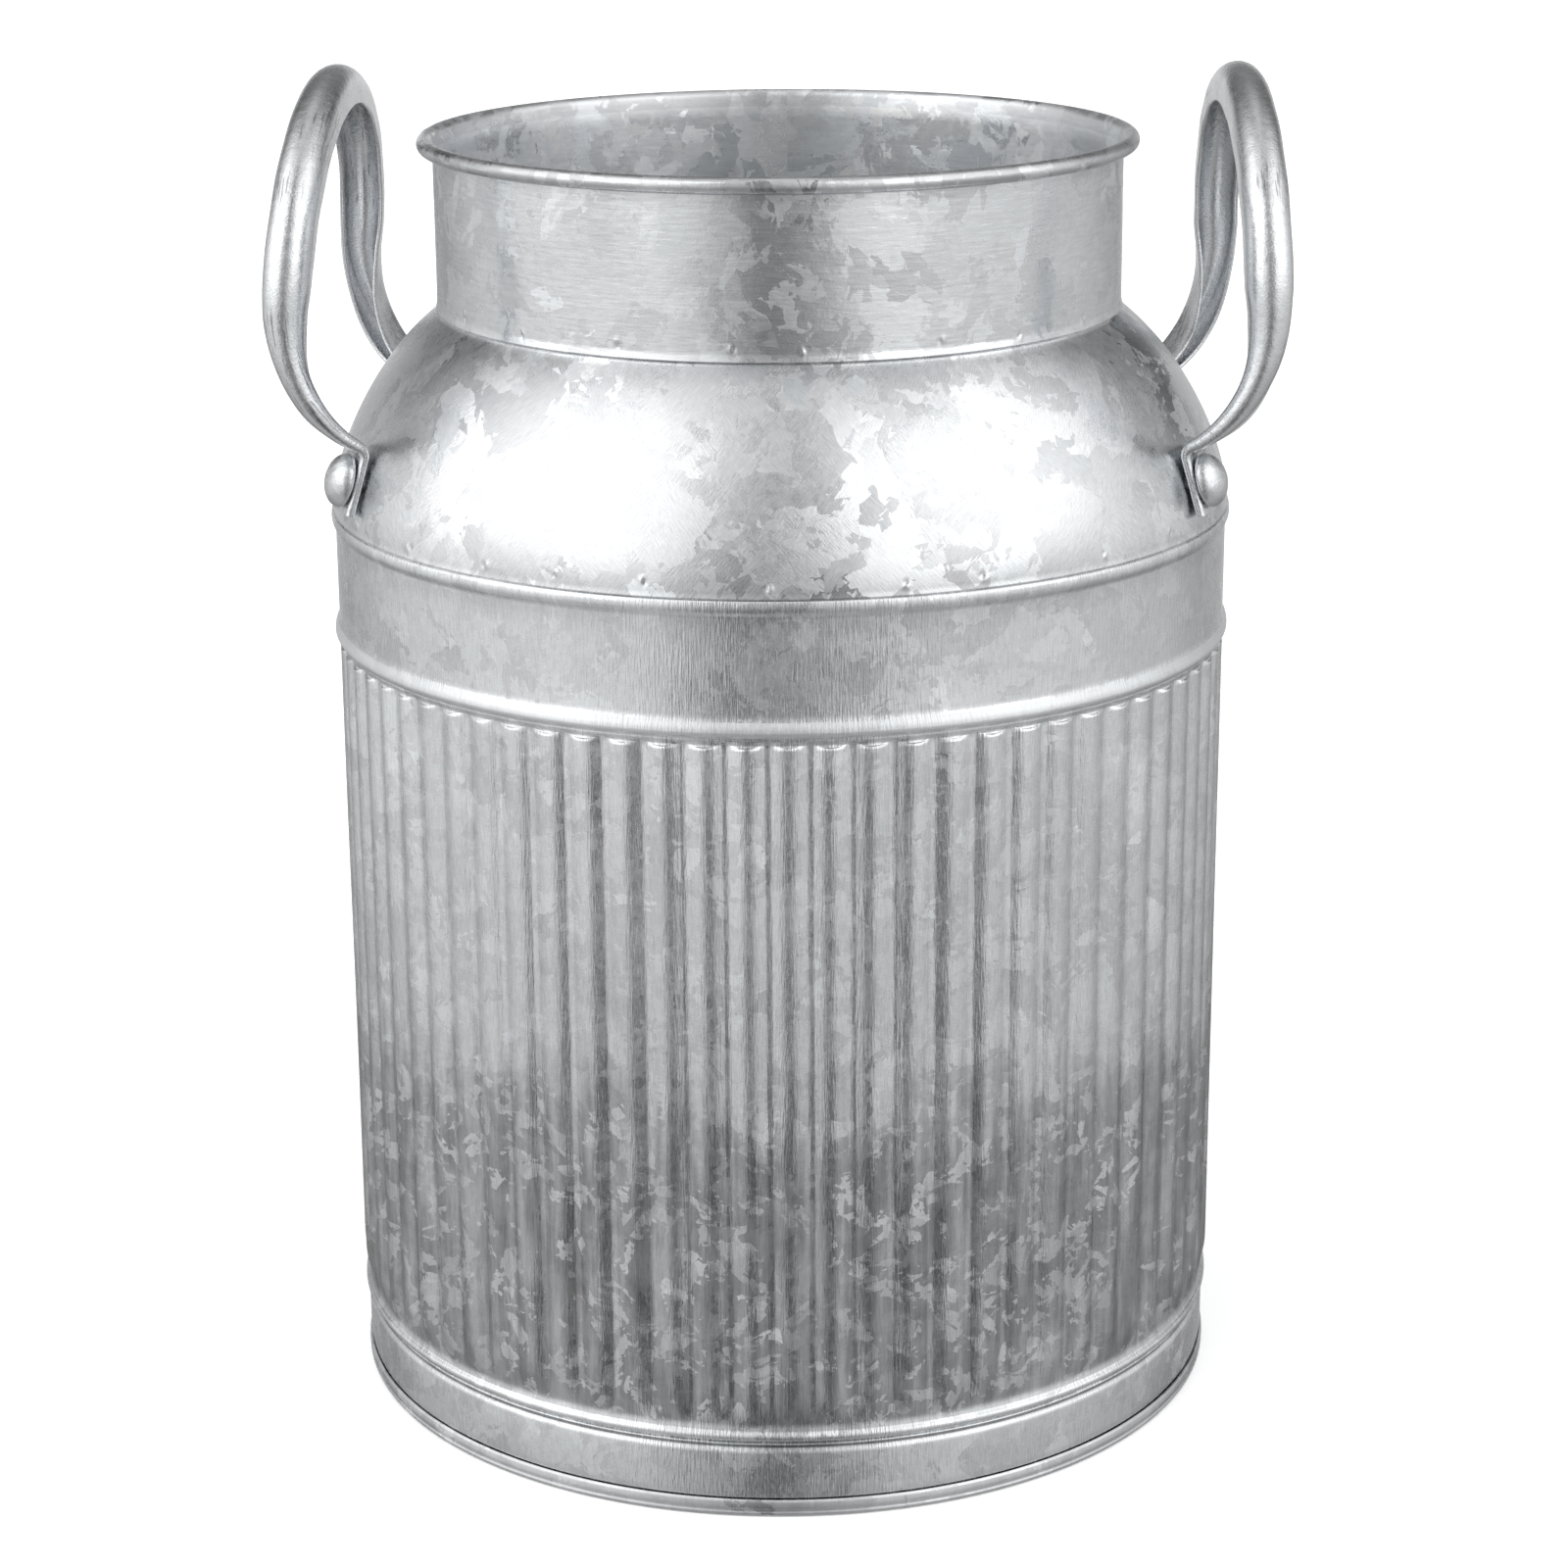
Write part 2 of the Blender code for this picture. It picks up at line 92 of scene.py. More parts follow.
HANDLE_SHEET = 0.0008
HANDLE_STRIP = 0.0174
CHANNEL_RADIUS = 0.0038
PINCHED_RADIUS = 0.00046
PINCH_RATE = 0.09
HANDLE_SET_BACK = math.radians(2.1)
ARCH_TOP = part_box("handle_left")[1].z
ARCH_TOP_REACH = {"left": 0.0829, "right": 0.0857}
LEG_SWEEP = {"left": math.radians(61), "right": math.radians(63)}
LEG_BEND_RADIUS = 0.0291
LEG_STRAIGHT_SHARE = 0.15
TAB_BEND_RADIUS = 0.0020
TAB_RISE = 0.0064
TAB_DROP = 0.0057
CORNER_STEPS = 10                             # stations round the bend into a tab
SECTION_STEPS = 14                            # points round a channel's bend
SIDE_PLACES = (1.0, 0.66, 0.33)               # points along a channel's straight sides
EDGE_POINTS = 4                               # points round a channel's cut edge
GAP = 0.0003

RIVET_HALF_ANGLE = math.radians(26.0)
RIVET_HEIGHT = 0.1817
RIVET_TILT = math.radians(17.0)
RIVET_HEAD_RADIUS = 0.0050
RIVET_HEAD_HEIGHT = 0.0038
SHANK_RADIUS = 0.0020
TAIL_RADIUS = 0.0031
TAIL_HEIGHT = 0.0012
HEAD_EDGE = 0.0005                            # height at which a rivet's dome begins
WASHER_RADIUS = 0.0036
WASHER_THICKNESS = 0.0008
WASHER_GAP = 0.0006

CAMERA_DISTANCE = 0.6982
CAMERA_HEIGHT = 0.3274
CAMERA_TILT = math.radians(16.965)
CAMERA_ROLL = math.radians(-0.385)
CAMERA_TURN = math.radians(1.7)               # round the can, from -Y towards +X
CAMERA_LENS = 85.81
CAMERA_SHIFT = 0.00113

# the studio's light by azimuth from the front, in degrees
STUDIO_RING = [
    (-180, 0.80), (-160, 0.66), (-148, 0.28), (-136, 0.46), (-112, 0.66), (-92, 0.76),
    (-45, 0.86), (-27, 0.74), (-15, 0.36), (0, 0.12), (15, 0.36), (28, 0.70), (50, 0.80),
    (98, 0.62), (115, 0.60), (136, 0.42), (148, 0.28), (160, 0.66), (180, 0.80),
]
STUDIO_BELOW = 0.62                           # share of it far below the horizon
STUDIO_ABOVE = 0.75                           # and overhead
STUDIO_LIFT = 0.40                            # how much brighter it is above the horizon
STUDIO_BACK_DROP = 0.80                       # how much darker it is behind, above the horizon


# ---- outlines ----
def arc(centre, radius, start, end, count):
    """Points on an arc, both ends included."""
    angles = np.linspace(start, end, count)
    return [(centre[0] + radius * math.cos(a), centre[1] + radius * math.sin(a)) for a in angles]


def rounded(corners):
    """A line through (radius, height, fillet) corners with its corners rounded."""
    points = [corners[0][:2]]
    for before, corner, after in zip(corners, corners[1:], corners[2:]):
        steps = 2 if corner[2] < SMALL_FILLET else 3
        here = Vector(corner[:2])
        into = Vector(before[:2]) - here
        out = Vector(after[:2]) - here
        reach = min(corner[2], into.length * 0.49, out.length * 0.49)
        start = here + into.normalized() * reach
        end = here + out.normalized() * reach
        for i in range(steps + 1):
            t = i / steps
            points.append(tuple(start * (1 - t) ** 2 + here * 2 * t * (1 - t) + end * t * t))
    points.append(corners[-1][:2])
    return points


def refined(points, longest):
    """The same line with more points, none further apart than longest."""
    line = [points[0]]
    for first, second in zip(points, points[1:]):
        gap = math.dist(first, second)
        if gap < 1e-7:
            continue
        count = max(1, math.ceil(gap / longest))
        for i in range(1, count + 1):
            t = i / count
            line.append((first[0] + (second[0] - first[0]) * t, first[1] + (second[1] - first[1]) * t))
    return line


def dome_curve(count):
    """The shoulder's outline from the body up to the collar, as one Bezier curve."""
    low = Vector((SHOULDER_RADIUS, SHOULDER_BOTTOM))
    high = Vector((COLLAR_RADIUS + 0.0002, SHOULDER_TOP))
    handles = (
        low,
        low + Vector((0.0, DOME_LOW_PULL)),
        high + Vector((math.cos(DOME_SLOPE), -math.sin(DOME_SLOPE))) * DOME_HIGH_PULL,
        high,
    )
    points = []
    for t in np.linspace(0.0, 1.0, count):
        s = 1.0 - t
        weights = (s * s * s, 3 * s * s * t, 3 * s * t * t, t * t * t)
        points.append(tuple(sum((h * w for h, w in zip(handles, weights)), Vector((0.0, 0.0)))))
    return points


def dome_radius(height):
    """The shoulder's outer radius at a height."""
    points = np.array(dome_curve(400))
    return float(np.interp(height, points[:, 1], points[:, 0]))


# ---- meshes ----
def grid_object(name, points, uvs, wrap, material):
    """A mesh from a grid of points (rows, columns, 3); uvs has one more column than a wrapped grid."""
    rows, columns = points.shape[:2]
    last = columns if wrap else columns - 1
    row, column = np.meshgrid(np.arange(rows - 1), np.arange(last), indexing="ij")
    following = (column + 1) % columns
    corners = np.stack([
        row * columns + column,
        row * columns + following,
        (row + 1) * columns + following,
        (row + 1) * columns + column,
    ], axis=-1).reshape(-1, 4)
    corner_uvs = np.stack([
        uvs[row, column],
        uvs[row, column + 1],
        uvs[row + 1, column + 1],
        uvs[row + 1, column],
    ], axis=2).reshape(-1, 2)
    mesh = bpy.data.meshes.new(name)
    mesh.from_pydata(points.reshape(-1, 3).tolist(), [], corners.tolist())
    layer = mesh.uv_layers.new(name="Sheet")
    layer.data.foreach_set("uv", corner_uvs.astype(np.float32).ravel())
    mesh.shade_smooth()
    mesh.materials.append(material)
    obj = bpy.data.objects.new(name, mesh)
    bpy.context.scene.collection.objects.link(obj)
    return obj


def turned(name, outline, places, material, relief=None):
    """An outline (radius, height) turned about Z, starting at the back, in unrolled UVs in metres.

    places are the columns' shares of a turn; relief(angle, radius, height) is the push outwards."""
    outline = np.array(outline)
    angle = BACK + math.tau * np.append(places, 1.0)
    columns = len(places)
    steps = np.diff(outline, axis=0)
    along = np.concatenate([[0.0], np.cumsum(np.hypot(steps[:, 0], steps[:, 1]))])
    tangent = np.gradient(outline, axis=0)
    tangent /= np.maximum(np.hypot(tangent[:, 0], tangent[:, 1]), 1e-12)[:, None]
    radius = np.repeat(outline[:, :1], columns, axis=1)
    height = np.repeat(outline[:, 1:], columns, axis=1)
    if relief is not None:
        push = relief(angle[None, :-1], radius, height)
        radius = radius + push * tangent[:, 1:]
        height = height - push * tangent[:, :1]
    points = np.stack([radius * np.cos(angle[:-1]), radius * np.sin(angle[:-1]), height], axis=-1)
    reference = float(outline[:, 0].max())
    u = np.broadcast_to(angle * reference, (len(outline), columns + 1))
    v = np.broadcast_to(along[:, None] + outline[0, 1], (len(outline), columns + 1))
    return grid_object(name, points, np.stack([u, v], axis=-1), True, material)


def even(columns):
    """Evenly spaced places round a turn."""
    return np.arange(columns) / columns


def thicken(obj, thickness):
    """Give a sheet its thickness, inwards from the modelled side."""
    solid = obj.modifiers.new("Sheet thickness", "SOLIDIFY")
    solid.thickness = thickness
    solid.offset = -1.0
    return obj


# ---- relief of the sheets ----
def unevenness(angle, height, depth, seed):
    """The slight waviness of hand-handled sheet."""
    total = np.zeros(np.broadcast(angle, height).shape)
    draw = np.random.RandomState(seed)
    for turns in (2, 3, 5, 7, 11, 16):
        shift, slant, lift = draw.uniform(0, math.tau, 3)
        pace = draw.uniform(25, 120)
        total = total + np.sin(turns * angle + shift + 0.6 * np.sin(pace * height + slant)) * np.cos(
            pace * height + lift) / math.sqrt(turns)
    return total * depth


def dimples(angle, height, reference, centres, depth):
    """Spot welds: small pits, each with a lip of pushed-up metal, at (azimuth, height, size) centres."""
    total = np.zeros(np.broadcast(angle, height).shape)
    for azimuth, level, size in centres:
        aside = ((angle - azimuth + math.pi) % math.tau - math.pi) * reference
        lift = height - level
        lean = 40.0 * azimuth
        reach = WELD_LIP_REACH * size
        pit = np.hypot(aside, lift) / (WELD_PIT * size)
        lip = np.hypot(aside - reach * math.cos(lean), lift - reach * math.sin(lean)) / (WELD_LIP * size)
        total = total + depth * (0.8 * np.exp(-lip ** 2) - np.exp(-pit ** 2))
    return total


def places_near(welds, reference, columns):
    """Even places round a turn, with close ones at each weld."""
    close = WELD_COLUMNS / reference
    shares = [even(columns)] + [((weld[0] - BACK + close) / math.tau) % 1.0 for weld in welds]
    ordered = np.unique(np.concatenate(shares))
    return ordered[np.append(True, np.diff(ordered) > LEAST_SHARE)]


def weld_row(seed, count, level, first):
    """Roughly even spot welds round the can, as (azimuth, height, size)."""
    draw = np.random.RandomState(seed)
    row = []
    for i in range(count):
        azimuth = first + math.tau * (i + draw.uniform(-0.2, 0.2)) / count
        row.append((azimuth, level + draw.uniform(-0.0004, 0.0004), draw.uniform(0.7, 1.25)))
    return row


def rib_columns():
    """Places of the body's columns: one on each land, the others closest at the ribs' creases."""
    pitch = math.tau * BODY_RADIUS / RIB_COUNT
    half_rib = [0.0, 0.34, 0.68, 0.94, 1.05]
    across = np.array([-t for t in half_rib[:0:-1]] + half_rib) * RIB_WIDTH / 2
    shares = np.append(0.0, 0.5 + across / pitch)
    return ((np.arange(RIB_COUNT)[:, None] + shares) / RIB_COUNT).ravel()


def rib_relief(angle, height):
    """Upright ribs: arcs with crisp creases, narrow lands and short ends; plain at the joint."""
    pitch = math.tau / RIB_COUNT
    aside = ((angle - BACK) % pitch - pitch / 2) * BODY_RADIUS
    rib = np.floor((angle - BACK) / pitch)
    # no two neighbouring ribs are pressed equally deep
    uneven = 1.0 + 0.10 * np.sin(rib * 2.4) * np.sin(rib * 0.9 + 1.0)
    beyond_low = np.clip((RIB_LOW + RIB_END - height) / RIB_END, 0.0, 1.0)
    beyond_high = np.clip((height - RIB_HIGH + RIB_END) / RIB_END, 0.0, 1.0)
    crown = np.clip(1.0 - (aside / (RIB_WIDTH / 2)) ** 2, 0.0, None)
    ends = (1.0 - beyond_low ** 2) * (1.0 - beyond_high ** 2)
    joint = np.abs((angle - BACK + math.pi) % math.tau - math.pi) * BODY_RADIUS
    return RIB_HEIGHT * uneven * crown * ends * (joint > pitch * BODY_RADIUS * 0.999)


# ---- pieces made of sheet ----
def body_outline():
    corners = [
        (LAND_RADIUS, 0.0010, 0.0),
        (LAND_RADIUS, 0.0034, 0.0002),
        (LAND_RADIUS + 0.0002, 0.0036, 0.0002),
        (FOOT_RADIUS, 0.0046, 0.0007),
        (FOOT_RADIUS, 0.0130, 0.0005),
        (FOOT_RADIUS - 0.0008, 0.0139, 0.0004),
        (FOOT_RADIUS - 0.0008, 0.0147, 0.0004),
        (BODY_RADIUS, 0.0154, 0.0004),
        (BODY_RADIUS + 0.0001, 0.0163, 0.0005),
        (LAND_RADIUS + 0.0003, 0.0169, 0.0003),
        (LAND_RADIUS + 0.0002, 0.0173, 0.0002),
        (LAND_RADIUS, 0.0180, 0.0004),
        (LAND_RADIUS, 0.1469, 0.0003),
        (BODY_RADIUS + 0.0001, 0.1476, 0.0004),
        (BODY_RADIUS, 0.1482, 0.0003),
        (BODY_RADIUS + 0.0009, 0.1488, 0.0007),
        (BODY_RADIUS + 0.0008, 0.1500, 0.0011),
        (BODY_RADIUS, 0.1515, 0.0008),
        (BODY_RADIUS, 0.1697, 0.0004),
        (BEAD_RADIUS - 0.0002, 0.1703, 0.0004),
        (BEAD_RADIUS, 0.1714, 0.0006),
        (BEAD_RADIUS - 0.0003, 0.1725, 0.0003),
        (SHOULDER_RADIUS - SHEET - GAP, 0.1727, 0.0002),
        (dome_radius(LAP_TOP) - SHEET - GAP - 0.0001, LAP_TOP, 0.0),
    ]
    return corners


def body_rows():
    """The body's outline, with close rows where it bends and where the ribs fade out at the bottom."""
    line = rounded(body_outline())
    rows = []
    for first, second in zip(line, line[1:]):
        middle = (first[1] + second[1]) / 2
        ribbed = second[1] - first[1] > (RIB_HIGH - RIB_LOW) / 2
        if ribbed:
            low = [RIB_LOW + RIB_END * t for t in np.linspace(-0.05, 1.05, 8)]
            above = list(np.linspace(low[-1], second[1] - LAST_RIB_ROW, 8)[1:])
            rows += [first] + [(first[0], z) for z in low + above if z > first[1]]
        elif PLAIN_BAND[0] < middle < PLAIN_BAND[1] or FOOT_BAND[0] < middle < FOOT_BAND[1]:
            rows += refined([first, second], BAND_ROWS)[:-1]
        else:
            rows.append(first)
    rows.append(line[-1])
    return rows


def make_body(material):
    def relief(angle, radius, height):
        push = np.maximum(LAND_RADIUS + rib_relief(angle, height) - radius, 0.0)
        push = push + unevenness(angle, height, 0.00004, 3)
        return push + joint_step(angle, radius)

    obj = turned("can_body", body_rows(), rib_columns(), material, relief)
    return finish_piece(thicken(obj, SHEET), "body")


def joint_step(angle, radius):
    """The upright lap joint at the back: the outer edge stands one sheet proud of the inner one."""
    lap = 0.0036
    slope_length = 0.0025
    step = 0.0004
    aside = ((angle - BACK + math.pi) % math.tau - math.pi) * radius
    rise = np.clip((aside + lap) / slope_length, 0.0, 1.0)
    return step * rise * (aside < lap)


def make_shoulder(material):
    welds = weld_row(seed=11, count=27, level=SHOULDER_BOTTOM + 0.0021, first=math.radians(-88.3))

    def relief(angle, radius, height):
        push = dimples(angle, height, SHOULDER_RADIUS, welds, 0.00024)
        return push + unevenness(angle, height, 0.00007, 5)

    dome = dome_curve(44)
    close_to = SHOULDER_BOTTOM + CLOSE_ROWS
    low = [p for p in dome if p[1] < close_to]
    hem = [
        (SHOULDER_RADIUS + 0.00015, SHOULDER_BOTTOM - 0.0003),
        (SHOULDER_RADIUS + 0.0001, SHOULDER_BOTTOM),
    ]
    line = refined(hem + low[1:], WELD_ROWS) + [p for p in dome if p[1] >= close_to]
    flange = COLLAR_RADIUS - SHEET - GAP
    top = [
        (COLLAR_RADIUS - 0.0001, SHOULDER_TOP + 0.00035),
        (COLLAR_RADIUS - 0.0003, COLLAR_BOTTOM - 0.0001),
        (flange, COLLAR_BOTTOM + 0.0002),
        (flange, COLLAR_BOTTOM + 0.0050),
    ]
    places = places_near(welds, SHOULDER_RADIUS, FINE_COLUMNS)
    obj = turned("can_shoulder", line + top, places, material, relief)
    return finish_piece(thicken(obj, SHEET), "shoulder")


def make_collar(material):
    welds = weld_row(seed=7, count=21, level=COLLAR_BOTTOM + 0.0020, first=math.radians(-81.3))

    def relief(angle, radius, height):
        fade = np.clip((RIM_TOP - 0.004 - height) / 0.006, 0.0, 1.0)
        push = dimples(angle, height, COLLAR_RADIUS, welds, 0.00022) * fade
        return push + unevenness(angle, height, 0.00006, 9) * fade

    low = [
        (COLLAR_RADIUS + 0.0003, COLLAR_BOTTOM - 0.0001),
        (COLLAR_RADIUS + 0.0002, COLLAR_BOTTOM + 0.0003),
        (COLLAR_RADIUS, COLLAR_BOTTOM + 0.0012),
    ]
    wall = refined(low + [(COLLAR_RADIUS, COLLAR_BOTTOM + CLOSE_ROWS)], WELD_ROWS)
    straight = refined([wall[-1], (COLLAR_RADIUS, RIM_TOP - 0.0034)], 0.0022)[1:]
    # the modelled side is the neck's outside, so the curl follows the inside of the roll
    curl = arc(ROLL_CENTRE, ROLL_RADIUS - SHEET, math.pi, -math.radians(140), 22)
    places = places_near(welds, COLLAR_RADIUS, FINE_COLUMNS)
    obj = turned("can_collar", wall + straight + curl, places, material, relief)
    return finish_piece(thicken(obj, SHEET), "collar")


def make_base(material):
    """The recessed floor, and its edge folded round the body's lower edge as a rounded lip."""
    skirt = LAND_RADIUS - SHEET - GAP
    lip = [
        (0.0001, FLOOR_HEIGHT + SHEET, 0.0),
        (skirt - 0.0030, FLOOR_HEIGHT + SHEET, 0.0010),
        (skirt, FLOOR_HEIGHT + SHEET - 0.0004, 0.0005),
        (skirt, 0.0005, 0.0002),
        (LAND_RADIUS + GAP, 0.0005, 0.0002),
        (LAND_RADIUS + GAP, SEAM_TOP, 0.0001),
        (SEAM_RADIUS - 0.0001, SEAM_TOP - 0.0003, 0.0003),
        (SEAM_RADIUS, 0.0018, 0.0006),
        (SEAM_RADIUS - 0.0003, 0.0012, 0.0003),
        (SEAM_RADIUS, 0.0007, 0.0004),
        (SEAM_RADIUS - 0.0005, 0.0, 0.0004),
        (skirt - SHEET + 0.0003, 0.0, 0.0003),
        (skirt - SHEET, 0.0006, 0.0003),
        (skirt - SHEET, FLOOR_HEIGHT, 0.0004),
        (0.0001, FLOOR_HEIGHT, 0.0),
    ]
    line = refined(rounded(lip), 0.012)
    obj = turned("can_base", line[::-1], even(360), material)
    return finish_piece(obj, "base")


def make_rim_wire(material):
    section = arc(ROLL_CENTRE, WIRE_RADIUS, math.tau, 0.0, 13)
    obj = turned("rim_wire_round", section[::-1], even(360), material)
    return finish_piece(obj, "rim_wire")


def finish_piece(obj, node):
    """Bind a piece to the frame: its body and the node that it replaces."""
    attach(obj, "root")
    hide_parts(node)
    return obj


# ---- handles ----
def side_direction(turn):
    """Level direction along the can's side, towards the middle of the handle."""
    return Vector((math.sin(turn), -math.cos(turn), 0.0))


def out_direction(turn):
    """Level direction away from the can, square to side_direction."""
    return Vector((math.cos(turn), math.sin(turn), 0.0))


def section_depth(radius):
    """Depth of the channel from its back to its open edge."""
    return radius + HANDLE_SHEET / 2 + (HANDLE_STRIP - math.pi * radius) / 2


def tab_line():
    """The two ends of a tab's back edge, in the middle of its thickness."""
    thickness = PINCHED_RADIUS + HANDLE_SHEET / 2
    out = out_direction(RIVET_HALF_ANGLE)
    normal = out * math.cos(RIVET_TILT) + Vector((0.0, 0.0, math.sin(RIVET_TILT)))
    along = out * math.sin(RIVET_TILT) - Vector((0.0, 0.0, math.cos(RIVET_TILT)))
    on_shoulder = out * dome_radius(RIVET_HEIGHT) + Vector((0.0, 0.0, RIVET_HEIGHT))
    middle = on_shoulder + normal * (thickness + GAP)
    back = middle - side_direction(RIVET_HALF_ANGLE) * section_depth(PINCHED_RADIUS) / 2
    return back - along * TAB_RISE, back + along * TAB_DROP


def leg_stations(start, sweep, steps=27):
    """A leg from the tab's bend up to the arch: it leans out, turning upright and square."""
    point = start.copy()
    stations = [(point.copy(), side_direction(RIVET_HALF_ANGLE))]
    step = sweep / steps
    for i in range(steps):
        share = max(0.0, (i + 0.5) / steps - LEG_STRAIGHT_SHARE) / (1 - LEG_STRAIGHT_SHARE)
        turn = RIVET_HALF_ANGLE * (1 - share * share * (3 - 2 * share))
        lean = sweep - step * (i + 0.5)
        heading = out_direction(turn) * math.sin(lean) + Vector((0.0, 0.0, math.cos(lean)))
        point += heading * LEG_BEND_RADIUS * step
        stations.append((point.copy(), side_direction(turn)))
    return stations


def round_corner(corner, before, after_start, after_end, side, steps=CORNER_STEPS):
    """Stations on an arc of the tab's bend radius, from the leg into the tab."""
    into = (before - corner).normalized()
    out_of = (after_end - after_start).normalized()
    half = into.angle(out_of) / 2
    reach = TAB_BEND_RADIUS / math.tan(half)
    centre = corner + (into + out_of).normalized() * (TAB_BEND_RADIUS / math.sin(half))
    start = corner + into * reach - centre
    end = corner + out_of * reach - centre
    return [(centre + start.slerp(end, i / steps).normalized() * TAB_BEND_RADIUS, side)
            for i in range(steps + 1)]


def handle_path(sweep, top_reach, arch_steps=30):
    """Stations from a handle's top to a tab's end, along the channel's back: point, inward side."""
    upper, lower = tab_line()
    leg = leg_stations(upper, sweep)
    tab_side = side_direction(RIVET_HALF_ANGLE)
    foot = round_corner(leg[0][0], leg[3][0], upper, lower, tab_side)
    kept = [station for station in leg if station[0].z > foot[0][0].z + 0.0004]
    top = kept[-1][0]
    rise = ARCH_TOP - top.z
    arch = []
    for i in range(1, arch_steps + 1):
        angle = math.pi / 2 * i / arch_steps
        reach = top.x + (top_reach - top.x) * math.sin(angle)
        inward = Vector((0.0, -math.cos(angle) / top.y, -math.sin(angle) / rise))
        point = Vector((reach, top.y * math.cos(angle), top.z + rise * math.sin(angle)))
        arch.append((point, inward.normalized()))
    tab_end = foot[-1][0]
    tab = [(tab_end.lerp(lower, i / 8), tab_side) for i in range(1, 9)]
    return (kept + arch)[::-1] + foot + tab, len(foot) + len(tab) - 1


def channel_section(radius):
    """A channel's closed outline as (across, inward) offsets from its back's centre line."""
    leg = max((HANDLE_STRIP - math.pi * radius) / 2, 0.0)
    half = HANDLE_SHEET / 2
    centre = radius + half
    points = []
    for skin, order in ((radius + half, 1), (radius - half, -1)):
        line = [(skin, centre + leg * t) for t in SIDE_PLACES]
        line += [(skin * math.cos(a), centre - skin * math.sin(a))
                 for a in np.linspace(0, math.pi, SECTION_STEPS)]
        line += [(-skin, centre + leg * t) for t in SIDE_PLACES[::-1]]
        points.append(line[::order])
    outer, inner = points
    edge_angles = np.linspace(math.pi, math.tau, EDGE_POINTS + 2)[1:-1]
    far_edge = [(-radius + half * math.cos(a), centre + leg - half * math.sin(a) * 0.9) for a in edge_angles]
    near_edge = [(radius + half * math.cos(a), centre + leg - half * math.sin(a) * 0.9) for a in edge_angles]
    return outer + far_edge + inner + near_edge


def make_handle(side, material):
    """A channel swept from tab to tab, pinched flat towards both tabs."""
    half, foot_count = handle_path(LEG_SWEEP[side], ARCH_TOP_REACH[side])
    mirrored = [(Vector((p.x, -p.y, p.z)), Vector((s.x, -s.y, s.z))) for p, s in half[:0:-1]]
    stations = mirrored + half
    points = [s[0] for s in stations]
    spans = [(b - a).length for a, b in zip(points, points[1:])]
    lengths = np.concatenate([[0.0], np.cumsum(spans)])
    middle = lengths[-1] / 2
    tab_start = lengths[len(points) - 1 - foot_count + CORNER_STEPS] - middle
    rings = []
    uvs = []
    for i, (point, towards) in enumerate(stations):
        along = (points[min(i + 1, len(points) - 1)] - points[max(i - 1, 0)]).normalized()
        inward = (towards - along * towards.dot(along)).normalized()
        across = inward.cross(along)
        from_tab = max(0.0, tab_start - abs(lengths[i] - middle))
        radius = min(PINCHED_RADIUS + PINCH_RATE * from_tab, CHANNEL_RADIUS)
        # the strip is bent by hand, so its width wavers a little
        radius += 0.00005 * math.sin(lengths[i] * 410 + len(side)) * min(1.0, from_tab / 0.02)
        section = channel_section(radius)
        rings.append([point + across * a + inward * b for a, b in section])
        around = np.concatenate([[0.0], np.cumsum([math.dist(p, q) for p, q in zip(
            section, section[1:] + section[:1])])])
        uvs.append([(a, lengths[i]) for a in around])
    grid = np.array([[tuple(p) for p in ring] for ring in rings])
    obj = grid_object(f"channel_handle_{side}", grid, np.array(uvs), True, material)
    close_ends(obj, len(stations), grid.shape[1])
    azimuth = HANDLE_SET_BACK if side == "right" else math.pi - HANDLE_SET_BACK
    obj.rotation_euler = (0.0, 0.0, azimuth)
    return finish_piece(obj, f"handle_{side}")


def close_ends(obj, rows, columns):
    """Close a channel's two cut ends: quads between its outer and its inner line."""
    bm = bmesh.new()
    bm.from_mesh(obj.data)
    bm.verts.ensure_lookup_table()
    outer = SECTION_STEPS + 2 * len(SIDE_PLACES)
    edge = EDGE_POINTS
    for row in (0, rows - 1):
        ring = [bm.verts[row * columns + i] for i in range(columns)]
        for i in range(outer - 1):
            far = 2 * outer + edge - 1 - i
            bm.faces.new((ring[i], ring[i + 1], ring[far - 1], ring[far]))
        bm.faces.new([ring[outer - 1]] + [ring[outer + k] for k in range(edge)] + [ring[outer + edge]])
        bm.faces.new([ring[2 * outer + edge - 1]]
                     + [ring[2 * outer + edge + k] for k in range(edge)] + [ring[0]])
    bmesh.ops.recalc_face_normals(bm, faces=bm.faces)
    bm.to_mesh(obj.data)
    bm.free()
    obj.data.shade_smooth()
    obj.data.set_sharp_from_angle(angle=math.radians(50))


# ---- rivets ----
def rivet_matrix(azimuth):
    """Z along the rivet's axis, pointing out; the origin on the shoulder's outer face."""
    radius = dome_radius(RIVET_HEIGHT)
    place = Vector((radius * math.cos(azimuth), radius * math.sin(azimuth), RIVET_HEIGHT))
    turn = Matrix.Rotation(azimuth, 4, "Z") @ Matrix.Rotation(math.pi / 2 - RIVET_TILT, 4, "Y")
    return Matrix.Translation(place) @ turn


